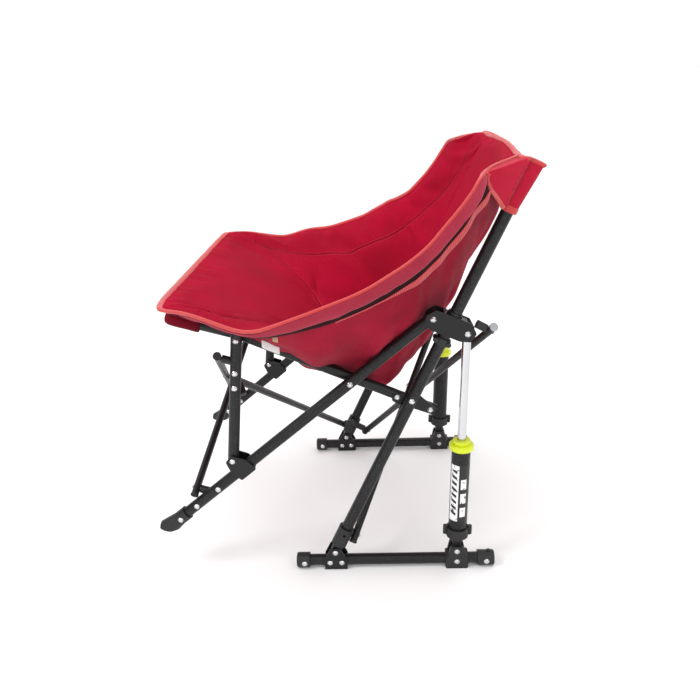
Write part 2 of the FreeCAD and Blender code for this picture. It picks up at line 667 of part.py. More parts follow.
def brace_nodes():
    nodes = {}
    for place, pair, normal in (("rear", REAR_PAIR, REAR_N), ("front", FRONT_PAIR, FRONT_N)):
        for name, ends in zip(("first", "second"), pair):
            nodes[place + "_brace_" + name] = brace_tube(ends, normal)
    over = 10.0
    d = SEAT_BRACE_D
    body = tube(SEAT_BRACE_A - d * over, SEAT_BRACE_B + d * over, BRACE_R, 1.4)
    for p, way in seat_brace_hinges():
        body = body.cut(rod(p - way * 30, p + way * 30, RIVET_R + RUN))
    nodes["seat_brace"] = body
    plugs = brace_plugs(REAR_PAIR) + brace_plugs(FRONT_PAIR)
    plugs += [plug(SEAT_BRACE_A - d * over, d * -1.0), plug(SEAT_BRACE_B + d * over, d)]
    nodes["brace_end_plugs"] = group(plugs)
    return nodes


def seat_brace_hinges():
    """Hinge points of the seat brace, each with the direction to the piece that carries it."""
    post_axis = at(on_post(40.0), -SIDE_X)
    low_way = post_axis - SEAT_BRACE_A
    low_way = low_way - SEAT_BRACE_D * low_way.dot(SEAT_BRACE_D)
    high_way = V(1, 0, 0) - SEAT_BRACE_D * SEAT_BRACE_D.x
    return [(SEAT_BRACE_A, low_way.normalize()), (SEAT_BRACE_B, high_way.normalize())]


def knuckle_nodes():
    rear = []
    front = []
    rivets = [cross_rivet(REAR_PAIR, REAR_N), cross_rivet(FRONT_PAIR, FRONT_N)]
    bracket = slide_bracket()
    for a, b, _ in REAR_PAIR:
        for p, is_high in ((a, False), (b, True)):
            side = 1.0 if p.x > 0 else -1.0
            if is_high:
                keep_out = [bracket if side > 0 else mirrored(bracket)]
                axis_gap = SLIDE_OFF + 11.5
            else:
                keep_out = [rod(at(on_post(0), side * SIDE_X), at(on_post(100), side * SIDE_X), BOOT_R)]
                axis_gap = 0.0
            reach = post_gap(p) - axis_gap
            rear.append(knuckle(p, REAR_N, reach, keep_out))
            rivets.append(hinge_rivet(p, REAR_N))
    for a, b, _ in FRONT_PAIR:
        for p, is_high in ((a, False), (b, True)):
            side = 1.0 if p.x > 0 else -1.0
            if is_high:
                keep_out = [rod(at(on_front(0), side * SIDE_X), at(on_front(150), side * SIDE_X), FRONT_R)]
            else:
                keep_out = [rod(at(on_leg(400), side * SIDE_X), at(on_leg(LEG_END), side * SIDE_X), LEG_R)]
            front.append(knuckle(p, FRONT_N * -1.0, 38.0, keep_out))
            rivets.append(hinge_rivet(p, FRONT_N * -1.0))
    seat = []
    for (p, way), keep in zip(seat_brace_hinges(),
                              [rod(at(on_post(0), -SIDE_X), at(on_post(100), -SIDE_X), BOOT_R),
                               rod(at(on_front(0)), at(on_front(200)), FRONT_R)]):
        seat.append(knuckle(p, way, 34.0, [keep]))
        rivets.append(hinge_rivet(p, way))
    return {"rear_brace_knuckles": group(rear), "front_brace_knuckles": group(front),
            "seat_brace_knuckles": group(seat), "brace_rivets": group(rivets)}


def post_gap(p):
    """Distance of a point from the post's axis, in the side plane."""
    dy = p.y - HINGE_Y
    dz = p.z - HINGE_Z
    s = math.sin(math.radians(POST_ANGLE))
    c = math.cos(math.radians(POST_ANGLE))
    return abs(-dy * s + dz * c)


def all_nodes():
    nodes = {}
    for name, make in SIDE_PIECES.items():
        left, right = both(make)
        if name in PAIRED:
            nodes[name] = group((left.Solids + right.Solids))
        else:
            nodes[name + "_left"] = left
            nodes[name + "_right"] = right
    nodes.update(brace_nodes())
    nodes.update(knuckle_nodes())
    nodes["seat_sling"] = seat_sling()
    return nodes


os.makedirs("parts", exist_ok=True)
for node, shape in all_nodes().items():
    shape.exportStep("parts/" + node + ".step")
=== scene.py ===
import bpy
import json
import math
from mathutils import Vector, Matrix, noise
from mathutils.bvhtree import BVHTree


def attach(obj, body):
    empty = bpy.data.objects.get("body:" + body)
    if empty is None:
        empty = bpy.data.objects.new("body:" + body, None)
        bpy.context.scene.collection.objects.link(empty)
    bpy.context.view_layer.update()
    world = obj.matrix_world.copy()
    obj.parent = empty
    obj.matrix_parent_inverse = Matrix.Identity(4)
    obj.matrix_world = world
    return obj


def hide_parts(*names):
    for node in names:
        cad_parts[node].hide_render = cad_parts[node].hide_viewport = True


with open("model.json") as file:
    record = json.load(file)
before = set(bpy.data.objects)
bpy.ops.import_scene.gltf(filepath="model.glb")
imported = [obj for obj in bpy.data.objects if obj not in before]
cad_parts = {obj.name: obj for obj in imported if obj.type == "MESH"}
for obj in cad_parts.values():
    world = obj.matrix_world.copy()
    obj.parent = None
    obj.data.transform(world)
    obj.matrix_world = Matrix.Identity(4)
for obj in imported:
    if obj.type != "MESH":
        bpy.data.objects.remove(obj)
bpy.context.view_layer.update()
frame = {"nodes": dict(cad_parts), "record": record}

scene = bpy.context.scene
MM = 0.001


# ---- camera, light and floor ---------------------------------------------------------------
def aim(yaw, pitch, roll):
    """Rotation of a camera that looks along -X turned by yaw, down by pitch, then rolled."""
    y, p, r = (math.radians(a) for a in (yaw, pitch, roll))
    forward = Vector((-math.cos(p) * math.cos(y), -math.cos(p) * math.sin(y), -math.sin(p)))
    right = forward.cross(Vector((0, 0, 1))).normalized()
    up = right.cross(forward)
    side = right * math.cos(r) + up * math.sin(r)
    top = up * math.cos(r) - right * math.sin(r)
    return Matrix((side, top, -forward)).transposed().to_euler()


camera = bpy.data.objects.new("camera", bpy.data.cameras.new("camera"))
camera.location = (1.716, 0.115, 1.053)
camera.rotation_euler = aim(3.2, 20.4, -2.77)
camera.data.lens = 39.1
camera.data.sensor_width = 36.0
scene.collection.objects.link(camera)
scene.camera = camera


def softbox(name, place, target, size, power):
    """Round area light, size across, that looks at the target."""
    light = bpy.data.objects.new(name, bpy.data.lights.new(name, "AREA"))
    light.data.shape = "DISK"
    light.data.size = size
    light.data.energy = power
    light.location = place
    light.rotation_euler = (Vector(target) - Vector(place)).to_track_quat("-Z", "Y").to_euler()
    scene.collection.objects.link(light)


softbox("key", (1.3, -1.9, 2.5), (0, 0, 0.5), 1.3, 34)
softbox("fill", (2.4, 1.6, 1.5), (0, 0, 0.5), 1.4, 9)
softbox("top", (-0.6, 0.2, 3.0), (0, 0, 0.5), 1.8, 22)

world = bpy.data.worlds.new("studio")
world.use_nodes = True
world.node_tree.nodes["Background"].inputs[0].default_value = (1, 1, 1, 1)
world.node_tree.nodes["Background"].inputs[1].default_value = 1.05
scene.world = world
scene.view_settings.view_transform = "Standard"
scene.view_settings.look = "None"


# ---- materials -----------------------------------------------------------------------------
class Paint:
    """A node material built step by step around one Principled shader."""

    def __init__(self, name, rough=0.5, metal=0.0):
        self.mat = bpy.data.materials.new(name)
        self.mat.use_nodes = True
        self.tree = self.mat.node_tree
        self.shader = self.tree.nodes["Principled BSDF"]
        self.shader.inputs["Roughness"].default_value = rough
        self.shader.inputs["Metallic"].default_value = metal
        self.height = None

    def add(self, kind, links=None, **settings):
        node = self.tree.nodes.new(kind)
        for key, value in settings.items():
            setattr(node, key, value)
        for key, value in (links or {}).items():
            self.feed(value, node.inputs[key])
        return node

    def feed(self, value, socket):
        if isinstance(value, bpy.types.NodeSocket):
            self.tree.links.new(value, socket)
        else:
            socket.default_value = value

    def where(self, uv=None):
        if uv:
            return self.add("ShaderNodeUVMap", uv_map=uv).outputs[0]
        return self.add("ShaderNodeTexCoord").outputs["Object"]

    def stretch(self, coords, scale, turn=(0, 0, 0)):
        links = {"Vector": coords, "Scale": scale, "Rotation": turn}
        return self.add("ShaderNodeMapping", links).outputs[0]

    def noise(self, coords, scale, detail=3.0, rough=0.55):
        links = {"Vector": coords, "Scale": scale, "Detail": detail, "Roughness": rough}
        return self.add("ShaderNodeTexNoise", links).outputs["Fac"]

    def math(self, how, a, b=0.0, c=0.0):
        return self.add("ShaderNodeMath", {0: a, 1: b, 2: c}, operation=how).outputs[0]

    def span(self, value, low, high, out_low=0.0, out_high=1.0):
        links = {"Value": value, "From Min": low, "From Max": high,
                 "To Min": out_low, "To Max": out_high}
        return self.add("ShaderNodeMapRange", links).outputs[0]

    def mix(self, share, a, b):
        node = self.add("ShaderNodeMix", data_type="RGBA")
        self.feed(share, node.inputs["Factor"])
        self.feed(a, node.inputs[6])
        self.feed(b, node.inputs[7])
        return node.outputs[2]

    def bump(self, height, strength, distance):
        links = {"Height": height, "Strength": strength, "Distance": distance}
        if self.height is not None:
            links["Normal"] = self.height
        self.height = self.add("ShaderNodeBump", links).outputs[0]

    def finish(self, color=None, rough=None):
        if color is not None:
            self.feed(color, self.shader.inputs["Base Color"])
        if rough is not None:
            self.feed(rough, self.shader.inputs["Roughness"])
        if self.height is not None:
            self.feed(self.height, self.shader.inputs["Normal"])
        return self.mat


def rgb(r, g, b):
    return (r, g, b, 1.0)


def powder_coat(name, tone, rough, grain):
    """Sprayed paint: fine orange peel, uneven gloss and a few rubbed places on the edges."""
    p = Paint(name)
    here = p.where()
    fine = p.noise(here, grain, 2.0)
    patch = p.noise(here, 9.0, 4.0)
    edge = p.add("ShaderNodeNewGeometry").outputs["Pointiness"]
    rubbed = p.math("MULTIPLY", p.span(edge, 0.62, 0.72), p.span(p.noise(here, 160.0), 0.5, 0.62))
    base = p.mix(patch, rgb(*tone), rgb(*(c * 1.3 + 0.002 for c in tone)))
    base = p.mix(p.math("MULTIPLY", rubbed, 0.4), base, rgb(0.11, 0.11, 0.115))
    p.bump(fine, 0.12, 0.0003)
    p.shader.inputs["Specular IOR Level"].default_value = 0.32
    return p.finish(base, p.span(patch, 0.3, 0.7, rough - 0.06, rough + 0.08))


def moulded(name, tone, rough):
    """Moulded plastic with a fine leather-like grain and scuffed high places."""
    p = Paint(name)
    here = p.where()
    grain = p.noise(here, 700.0, 2.0)
    scuff = p.span(p.noise(p.stretch(here, (30, 30, 120)), 1.0, 5.0), 0.55, 0.75)
    base = p.mix(p.math("MULTIPLY", scuff, 0.3), rgb(*tone), rgb(*(c * 1.5 + 0.012 for c in tone)))
    p.bump(grain, 0.3, 0.0004)
    return p.finish(base, p.span(scuff, 0.0, 1.0, rough, rough + 0.15))


def bright_metal(name, tone, rough, streak):
    """Plated steel with fine brushing or polishing lines."""
    p = Paint(name, rough, 1.0)
    here = p.where()
    lines = p.noise(p.stretch(here, streak), 1.0, 4.0)
    haze = p.noise(here, 25.0, 3.0)
    base = p.mix(haze, rgb(*(c * 0.82 for c in tone)), rgb(*tone))
    p.bump(lines, 0.08, 0.0002)
    return p.finish(base, p.span(haze, 0.3, 0.7, rough * 0.8, rough * 1.5))


def weave(p, pitch, depth):
    """Plain weave in the piece's own flat coordinates, in metres. Returns the thread height."""
    flat = p.where(uv="flat")
    turns = 2.0 * math.pi / pitch
    parts = p.add("ShaderNodeSeparateXYZ", {0: flat})
    warp = p.math("SINE", p.math("MULTIPLY", parts.outputs[0], turns))
    weft = p.math("SINE", p.math("MULTIPLY", parts.outputs[1], turns))
    height = p.math("ADD", p.math("MULTIPLY", warp, weft), p.math("MULTIPLY", warp, 0.3))
    p.bump(p.math("MULTIPLY", height, 0.5), 0.35, depth)
    return height, parts


def stitches(p, parts, distance, gap, length=0.0045):
    """Share of thread in a stitched line that runs gap away from a signed distance of 0."""
    across = p.math("ABSOLUTE", p.math("SUBTRACT", p.math("ABSOLUTE", distance), gap))
    line = p.span(across, 0.0006, 0.0003)
    along = p.math("FRACT", p.math("DIVIDE", parts.outputs[0], length))
    return p.math("MULTIPLY", line, p.span(along, 0.62, 0.7, 1.0, 0.0))


def cloth(name, tone, shade, pitch=0.0011, sheen=0.35, seams=(), thread=None, folds=1.0):
    """Woven polyester: weave with painted shade in its hollows, faded and darker areas, soft sheen,
    and sewn seams where named, their grooves darkened with painted shade.
    """
    p = Paint(name, 0.72)
    height, parts = weave(p, pitch, 0.0005)
    here = p.where()
    faded = p.noise(here, 7.0, 4.0)
    slub = p.noise(p.stretch(p.where(uv="flat"), (900, 90, 1)), 1.0, 3.0)
    base = p.mix(p.span(faded, 0.35, 0.65), rgb(*shade), rgb(*tone))
    base = p.mix(p.math("MULTIPLY", p.span(slub, 0.5, 0.7), 0.18), base,
                 rgb(*(min(1.0, c * 1.25 + 0.02) for c in tone)))
    # Painted shade: up to a sixth darker where the threads are low, in the hollows of the weave.
    base = p.mix(p.span(height, -1.3, 0.2, 0.16, 0.0), base, rgb(*(c * 0.35 for c in shade)))
    crumple = p.noise(here, 21.0, 3.0, 0.5)
    p.bump(crumple, 0.35 * folds, 0.004)
    for layer in seams:
        distance = p.add("ShaderNodeAttribute", attribute_name=layer).outputs["Fac"]
        size = p.math("ABSOLUTE", distance)
        groove = p.span(size, 0.0, 0.0035)
        pucker = p.math("MULTIPLY", p.noise(p.stretch(p.where(uv="flat"), (140, 30, 1)), 1.0, 2.0),
                        p.span(size, 0.016, 0.003))
        p.bump(groove, 0.8, 0.0022)
        p.bump(pucker, 0.6, 0.003)
        # Painted shade: the seam's groove is darkened towards its middle.
        base = p.mix(p.span(size, 0.0022, 0.0, 0.0, 0.7), base, rgb(*(c * 0.3 for c in shade)))
        sewn = stitches(p, parts, distance, 0.0034)
        base = p.mix(p.math("MULTIPLY", sewn, 0.75), base, rgb(*(thread or tone)))
        p.bump(sewn, 0.6, 0.0006)
    p.shader.inputs["Sheen Weight"].default_value = sheen
    p.shader.inputs["Sheen Roughness"].default_value = 0.42
    p.shader.inputs["Sheen Tint"].default_value = rgb(1.0, 0.55, 0.6)
    p.shader.inputs["Specular IOR Level"].default_value = 0.08
    return p.finish(base, p.span(faded, 0.3, 0.7, 0.78, 0.92))


def ribbed(name, tone, shade, pitch):
    """Grosgrain tape: ribs across its length, with painted shade in the hollows between them."""
    p = Paint(name, 0.55)
    flat = p.where(uv="flat")
    parts = p.add("ShaderNodeSeparateXYZ", {0: flat})
    rib = p.math("SINE", p.math("MULTIPLY", parts.outputs[0], 2.0 * math.pi / pitch))
    fine = p.noise(p.stretch(flat, (300, 2600, 1)), 1.0, 2.0)
    # Painted shade: the shade colour in the hollows between the ribs, the tone on their crowns.
    base = p.mix(p.span(rib, -1.0, 0.6), rgb(*shade), rgb(*tone))
    base = p.mix(p.math("MULTIPLY", fine, 0.3), base, rgb(*(c * 0.6 for c in tone)))
    p.bump(rib, 0.7, 0.0006)
    p.bump(fine, 0.2, 0.0003)
    p.shader.inputs["Sheen Weight"].default_value = 0.3
    return p.finish(base)


FRAME_BLACK = powder_coat("frame_black", (0.006, 0.006, 0.007), 0.36, 900.0)
BARREL_BLACK = powder_coat("barrel_black", (0.005, 0.005, 0.006), 0.3, 500.0)
PLASTIC = moulded("moulded_black", (0.008, 0.008, 0.009), 0.5)
PLUG_GREY = moulded("moulded_grey", (0.36, 0.37, 0.39), 0.4)
COLLAR = moulded("collar_yellow", (0.62, 0.72, 0.012), 0.32)
RIVET = bright_metal("rivet_zinc", (0.72, 0.72, 0.74), 0.28, (400, 400, 400))
CHROME = bright_metal("rod_chrome", (0.66, 0.66, 0.68), 0.07, (900, 900, 40))
SPRING = bright_metal("spring_steel", (0.4, 0.4, 0.42), 0.4, (200, 200, 900))

CRIMSON = cloth("sling_crimson", (0.37, 0.002, 0.024), (0.29, 0.001, 0.016), 0.0013, 0.0,
                ("side_seam", "front_seam"), (0.62, 0.05, 0.08))
MAROON = cloth("shell_maroon", (0.36, 0.010, 0.032), (0.21, 0.005, 0.018), 0.0012, 0.12, folds=1.3)
# Painted shade: a darker copy of the pocket cloth for the front sleeves and their flaps, which lie in
# shade.
POCKET_IN_SHADE = cloth("pocket_painted_shade", (0.15, 0.003, 0.012), (0.09, 0.002, 0.007), 0.0016, 0.1)
ROSE = cloth("band_rose", (0.40, 0.035, 0.065), (0.31, 0.02, 0.042), 0.0012, 0.35)
POCKET = cloth("pocket_red", (0.50, 0.014, 0.04), (0.37, 0.008, 0.028), 0.0016, 0.2)
BINDING = ribbed("binding_coral", (0.72, 0.04, 0.036), (0.56, 0.02, 0.022), 0.0018)
# Painted shade: near-black cloth that stands in for the shadow in the hollow under the band.
GAP_SHADE_CLOTH = cloth("gap_shade_strip", (0.03, 0.004, 0.008), (0.012, 0.002, 0.004), 0.0016, 0.1)
CARE = cloth("care_label", (0.80, 0.79, 0.78), (0.70, 0.69, 0.68), 0.0008, 0.1)
TAN = cloth("tan_tag", (0.55, 0.36, 0.24), (0.42, 0.27, 0.17), 0.0012, 0.1)
RIB = ribbed("trim_ribbed", (0.66, 0.022, 0.03), (0.34, 0.006, 0.014), 0.0042)
THREAD = ribbed("thread_coral", (0.72, 0.12, 0.13), (0.5, 0.05, 0.06), 0.0009)

FINISH = {"frame_paint": FRAME_BLACK, "cylinder_paint": BARREL_BLACK, "black_plastic": PLASTIC,
          "signal_collar": COLLAR, "rivet_steel": RIVET, "chrome_rod": CHROME,
          "spring_steel": SPRING, "sling_fabric": MAROON, "pocket_fabric": POCKET}
for part in frame["record"]["subparts"]:
    node = frame["nodes"][part["node"]]
    node.data.materials.clear()
    node.data.materials.append(FINISH[part["material_slot"]])


# ---- mesh helpers --------------------------------------------------------------------------
def mesh_piece(name, points, faces, flat, material, subdivide=0):
    """Smooth mesh piece with a "flat" UV layer in metres, one pair for each point."""
    mesh = bpy.data.meshes.new(name)
    mesh.from_pydata([tuple(p) for p in points], [], faces)
    layer = mesh.uv_layers.new(name="flat")
    for loop in mesh.loops:
        layer.data[loop.index].uv = flat[loop.vertex_index]
    mesh.materials.append(material)
    for face in mesh.polygons:
        face.use_smooth = True
    obj = bpy.data.objects.new(name, mesh)
    scene.collection.objects.link(obj)
    if subdivide:
        modifier = obj.modifiers.new("subdivide", "SUBSURF")
        modifier.levels = modifier.render_levels = subdivide
    return obj


def running(points):
    """Length along a line of points, at each point."""
    total = [0.0]
    for a, b in zip(points, points[1:]):
        total.append(total[-1] + (b - a).length)
    return total


def loft(name, rows, material, closed=False, loop=False, subdivide=0, caps=False):
    """Skin over rows of points. closed joins each row's ends, loop joins the last row to the first."""
    n = len(rows[0])
    mid = n // 2
    along = running([row[mid] for row in rows])
    points = []
    flat = []
    for row, u in zip(rows, along):
        points += row
        flat += [(u, w) for w in running(row)]
    faces = []
    last = len(rows) if loop else len(rows) - 1
    for i in range(last):
        j = (i + 1) % len(rows)
        for k in range(n if closed else n - 1):
            m = (k + 1) % n
            faces.append((i * n + k, i * n + m, j * n + m, j * n + k))
    if caps:
        faces.append(tuple(reversed(range(n))))
        faces.append(tuple(range((len(rows) - 1) * n, len(rows) * n)))
    return mesh_piece(name, points, faces, flat, material, subdivide)


def ease(a, b, x):
    """0 below a, 1 above b, smooth between."""
    t = min(1.0, max(0.0, (x - a) / (b - a)))
    return t * t * (3.0 - 2.0 * t)


def curve_point(points, t):
    """Point on a Catmull-Rom curve through the points, t counts them."""
    i = min(int(t), len(points) - 2)
    f = t - i
    b = points[i]
    c = points[i + 1]
    a = points[i - 1] if i > 0 else b * 2.0 - c
    d = points[i + 2] if i + 2 < len(points) else c * 2.0 - b
    return (b * 2.0 + (c - a) * f + (a * 2.0 - b * 5.0 + c * 4.0 - d) * f * f
            + (b * 3.0 - a - c * 3.0 + d) * f * f * f) * 0.5


def solid_sheet(name, rows, thickness, material):
    """Open cloth surface given a real thickness, half of it on each side."""
    obj = loft(name, rows, material, subdivide=1)
    modifier = obj.modifiers.new("thickness", "SOLIDIFY")
    modifier.thickness = thickness
    modifier.offset = 0.0
    return obj


# ---- bucket sling --------------------------------------------------------------------------
# Half sections of its outer side in millimetres, from the front edge to the top of the back.
# Each runs from the rim, over the seam, the side wall and the bottom corner, to the middle.
SLING = [
    [(345, -325, 637), (292, -330, 635), (230, -333, 633), (140, -335, 631), (0, -336, 630)],
    [(363, -275, 631), (300, -276, 610), (230, -278, 601), (140, -280, 602), (0, -282, 603)],
    [(388, -200, 616), (305, -203, 588), (230, -206, 575), (140, -208, 568), (0, -210, 566)],
    [(405, -125, 616), (308, -130, 570), (230, -134, 546), (150, -137, 532), (0, -140, 529)],
    [(412, -50, 628), (308, -58, 562), (230, -64, 514), (160, -70, 492), (0, -75, 486)],
    [(411, 20, 648), (306, 8, 566), (228, 2, 490), (165, -4, 452), (0, -8, 442)],
    [(402, 75, 672), (303, 62, 584), (226, 54, 480), (168, 46, 424), (0, 42, 408)],
    [(388, 120, 695), (300, 116, 604), (225, 106, 484), (170, 95, 415), (0, 100, 393)],
    [(372, 157, 714), (298, 162, 630), (224, 158, 520), (170, 143, 447), (0, 155, 418)],
    [(360, 197, 744), (296, 204, 666), (222, 202, 572), (172, 184, 496), (0, 203, 474)],
    [(354, 238, 789), (294, 248, 722), (222, 248, 638), (174, 234, 576), (0, 252, 556)],
    [(360, 270, 833), (298, 284, 786), (226, 286, 716), (178, 274, 664), (0, 294, 650)],
    [(350, 287, 859), (300, 312, 834), (230, 324, 788), (184, 316, 746), (0, 334, 740)],
    [(316, 302, 869), (282, 336, 864), (226, 350, 842), (180, 350, 822), (0, 362, 818)],
    [(255, 366, 881), (226, 369, 882), (186, 372, 883), (130, 376, 884), (0, 380, 886)],
]
ALONG = 9        # fine rows to each section
ACROSS = 13      # fine columns to each stretch of a half section
SPAN = 8         # stretches from rim to rim
ROWS = (len(SLING) - 1) * ALONG + 1
COLUMNS = SPAN * ACROSS + 1


def fine_surface():
    """Rows of points over the whole outer side, from the left rim to the right one."""
    sections = []
    for half in SLING:
        left = [Vector(p) * MM for p in half]
        full = left + [Vector((-p.x, p.y, p.z)) for p in reversed(left[:-1])]
        sections.append([curve_point(full, k / ACROSS) for k in range(COLUMNS)])
    rows = []
    for i in range(ROWS):
        t = i / ALONG
        rows.append([curve_point([s[k] for s in sections], t) for k in range(COLUMNS)])
    return rows


# The cloth rim isn't quite even: side (1 left, -1 right), section, spread, rise in mm.
UNEVEN = [(1, 2.75, 0.75, -15.0), (1, 4.9, 0.8, 5.0), (1, 0.2, 0.7, -5.0), (1, 9.6, 0.5, 2.0),
          (-1, 2.35, 0.3, -4.0), (-1, 3.3, 0.45, 8.0), (-1, 1.2, 0.5, 2.0), (-1, 5.6, 0.35, -3.0),
          (-1, 7.2, 0.35, 3.0), (-1, 8.6, 0.3, -3.0)]


CORNER_ROWS = 5          # fine rows and columns that a rounded front corner takes in
CORNER_COLUMNS = 4
CORNER_PULL = 0.16       # how far its outermost point moves, as a share of the way in


def settle(rows):
    """Lets the rim hang unevenly and rounds the two front corners."""
    for i, row in enumerate(rows):
        for k in range(COLUMNS):
            side = 1 if k < COLUMNS // 2 else -1
            half = min(k, COLUMNS - 1 - k) / ACROSS
            near = ease(1.0, 0.0, half)
            rise = sum(h * math.exp(-((i / ALONG - u) / w) ** 2) for s, u, w, h in UNEVEN if s == side)
            row[k] = row[k] + Vector((0.0, 0.0, rise * near * MM))
    for left in (True, False):
        inner = rows[CORNER_ROWS][CORNER_COLUMNS if left else COLUMNS - 1 - CORNER_COLUMNS].copy()
        for i in range(CORNER_ROWS):
            for m in range(CORNER_COLUMNS):
                k = m if left else COLUMNS - 1 - m
                outer = (1.0 - i / CORNER_ROWS) * (1.0 - m / CORNER_COLUMNS)
                rows[i][k] = rows[i][k].lerp(inner, CORNER_PULL * outer ** 1.3)
    return rows


def inward(rows):
    """Unit direction towards the sitter at every point of a grid."""
    result = []
    for i, row in enumerate(rows):
        line = []
        for k in range(len(row)):
            down = rows[min(i + 1, len(rows) - 1)][k] - rows[max(i - 1, 0)][k]
            across = row[max(k - 1, 0)] - row[min(k + 1, len(row) - 1)]
            line.append(across.cross(down).normalized())
        result.append(line)
    return result


SKIN = settle(fine_surface())
IN = inward(SKIN)


def place(i, k):
    """Section number along and stretch across, 0 to SPAN, of a fine grid point."""
    return i / ALONG, k / ACROSS


def from_rim(v):
    """Stretches between a place across and the nearer rim."""
    return min(v, SPAN - v)


SEAM_START = 1.4         # section number at which the side seams begin
PANEL_EDGE = 0.86        # the front seam ends this many stretches short of the rim
NO_SEAM = 0.05           # distance written where a seam doesn't run, in metres
STRETCH = 0.09           # rough length of one stretch across, in metres
SECTION = 0.055          # rough length from one section to the next, in metres


def seam_line(v):
    """Section number where the front panel is sewn to the back panel, at a place across."""
    half = from_rim(v)
    return 1.55 + 3.2 * min(1.0, max(0.0, (half - 0.9) / 3.1)) ** 0.85


def side_line(u):
    """Place across of the seam between the back panel and the side wing."""
    return 0.92 + 0.75 * ease(8.5, 12.6, u)


def crease(u, v, a, b, width, height):
    """Height of a soft fold that runs from a to b in section coordinates."""
    ax, ay = a
    bx, by = b
    dx = bx - ax
    dy = by - ay
    t = min(1.0, max(0.0, ((u - ax) * dx + (v - ay) * dy) / (dx * dx + dy * dy)))
    gap = math.hypot(u - ax - t * dx, v - ay - t * dy)
    return height * math.exp(-(gap / width) ** 2) * math.sin(math.pi * (0.1 + 0.8 * t))


# Folds pulled from the corners and across the side walls: start, end, width, height in mm.
FOLDS = [((0.4, 7.7), (2.2, 6.5), 0.16, 7.0), ((0.3, 7.2), (2.4, 5.9), 0.15, -5.0),
         ((0.5, 7.9), (3.0, 7.3), 0.14, 5.0), ((0.4, 0.3), (2.2, 1.5), 0.16, 7.0),
         ((0.3, 0.8), (2.4, 2.1), 0.15, -5.0), ((0.5, 0.1), (3.0, 0.7), 0.14, 5.0),
         ((3.2, 7.6), (6.4, 6.2), 0.2, 6.0), ((4.4, 7.4), (7.4, 5.8), 0.22, -6.0),
         ((6.2, 7.3), (8.6, 5.4), 0.2, 5.0), ((3.2, 0.4), (6.4, 1.8), 0.2, 6.0),
         ((4.4, 0.6), (7.4, 2.2), 0.22, -6.0), ((6.2, 0.7), (8.6, 2.6), 0.2, 5.0),
         ((8.4, 7.0), (10.6, 5.2), 0.2, 6.0), ((9.6, 7.4), (12.4, 5.6), 0.18, -5.0),
         ((8.4, 1.0), (10.6, 2.8), 0.2, 6.0), ((9.6, 0.6), (12.4, 2.4), 0.18, -5.0),
         ((11.4, 7.2), (13.6, 5.4), 0.18, 5.0), ((11.4, 0.8), (13.6, 2.6), 0.18, 5.0),
         ((0.5, 4.9), (3.6, 4.4), 0.3, 3.0), ((5.2, 3.4), (7.6, 4.6), 0.3, -4.0)]


def folds(u, v):
    """Height in metres of all the folds of the padding at a place, with some unevenness."""
    total = sum(crease(u, v, a, b, w, h) for a, b, w, h in FOLDS)
    return (total + 2.2 * noise.noise(Vector((u * 0.9, v * 1.1, 3.7)))) * MM


def rim_share(i, k):
    """0 at the rim, 1 well inside it."""
    edge = min(i, ROWS - 1 - i, k, COLUMNS - 1 - k)
    return ease(0.0, 4.0, edge)


def padded_sling():
    """Closed padded shell: upper and lower skins that meet at the rim."""
    upper = []
    lower = []
    for i in range(ROWS):
        top = []
        low = []
        for k in range(COLUMNS):
            u, v = place(i, k)
            inside = rim_share(i, k)
            thick = (3.2 + 5.0 * inside) * MM
            base = (1.6 + 1.4 * inside) * MM
            wave = folds(u, v) * inside
            top.append(SKIN[i][k] + IN[i][k] * (base + thick + max(wave, -4.0 * MM)))
            low.append(SKIN[i][k] + IN[i][k] * (base + max(0.0, wave) * 0.4))
        upper.append(top)
        lower.append(low)
    n = COLUMNS
    points = [p for row in upper for p in row] + [p for row in lower for p in row]
    shift = ROWS * n
    flat = []
    for rows in (upper, lower):
        along = running([row[n // 2] for row in rows])
        for row, u in zip(rows, along):
            widths = running(row)
            flat += [(u, w - widths[n // 2]) for w in widths]
    faces = []
    for i in range(ROWS - 1):
        for k in range(n - 1):
            a, b, c, d = i * n + k, i * n + k + 1, (i + 1) * n + k + 1, (i + 1) * n + k
            faces.append((a, d, c, b))
            faces.append((shift + a, shift + b, shift + c, shift + d))
    border = [(0, k) for k in range(n)] + [(i, n - 1) for i in range(1, ROWS)]
    border += [(ROWS - 1, k) for k in range(n - 2, -1, -1)] + [(i, 0) for i in range(ROWS - 2, 0, -1)]
    for (i, k), (j, m) in zip(border, border[1:] + border[:1]):
        a, b = i * n + k, j * n + m
        faces.append((a, b, shift + b, shift + a))
    obj = mesh_piece("sling_pad", points, faces, flat, CRIMSON)
    obj.data.materials.append(MAROON)
    side = obj.data.attributes.new("side_seam", "FLOAT", "POINT")
    front = obj.data.attributes.new("front_seam", "FLOAT", "POINT")
    for i in range(ROWS):
        for k in range(n):
            u, v = place(i, k)
            half = from_rim(v)
            near_side = (half - side_line(u)) * STRETCH
            far_front = (u - seam_line(v)) * SECTION
            if u < SEAM_START:
                near_side = NO_SEAM
            if half < PANEL_EDGE:
                far_front = NO_SEAM
            for offset in (0, shift):
                side.data[offset + i * n + k].value = near_side
                front.data[offset + i * n + k].value = far_front
    for face in obj.data.polygons:
        if face.vertices[0] >= shift:
            face.material_index = 1
    return obj


def pinned():
    """Vertex numbers that the padding is sewn down at: the rim and the seams, on both skins."""
    n = COLUMNS
    held = set()
    for i in range(ROWS):
        for k in range(n):
            u, v = place(i, k)
            half = from_rim(v)
            rim = i in (0, ROWS - 1) or k in (0, n - 1)
            side = abs(half - side_line(u)) < 0.045 and u > SEAM_START
            front = abs(u - seam_line(v)) < 0.07 and half > 0.9
            if rim or side or front:
                held.add(i * n + k)
    shift = ROWS * n
    return sorted(held | {h + shift for h in held})


